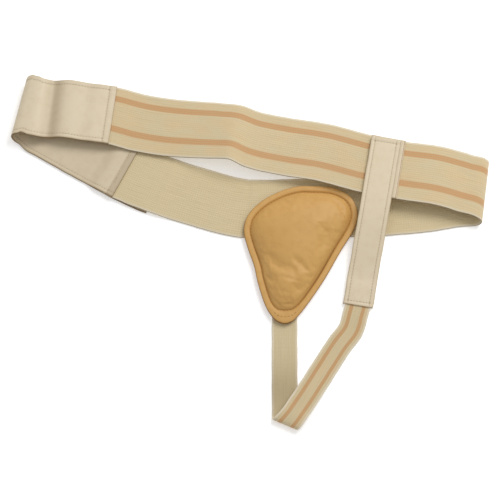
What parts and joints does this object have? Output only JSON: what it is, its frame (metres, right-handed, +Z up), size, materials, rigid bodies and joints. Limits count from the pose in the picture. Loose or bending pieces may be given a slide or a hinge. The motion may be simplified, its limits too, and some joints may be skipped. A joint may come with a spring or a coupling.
{
  "type": "hernia belt",
  "caption": "Elastic waist belt with a leather groin pad and a narrow leg strap, lying closed; its ends meet in a soft vinyl hook-and-loop panel.",
  "frame": {"origin": "middle of the bounding box at its underside, on the surface that the belt lies on", "axes": "+X along the waist belt from the vinyl panel to the plain fold, +Y away from the leg strap, +Z up"},
  "size_m": [0.4788, 0.3584, 0.0216],
  "materials": {
    "elastic": "ribbed woven elastic, cream, with brown stripes on its outer face",
    "vinyl": "soft vinyl leathercloth, fine grain, satin",
    "hook": "woven tape with fine plastic hooks",
    "leather": "soft tan glove leather, satin"
  },
  "bodies": {
    "root": {"belt_webbing": "elastic", "closure_outer": "vinyl", "closure_inner": "vinyl", "hook_strip": "hook", "pad_backing": "leather", "pad_cushion": "leather", "leg_anchor": "vinyl", "leg_tab_front": "vinyl", "leg_tab_back": "vinyl", "leg_webbing": "elastic"}
  },
  "joints": []
}
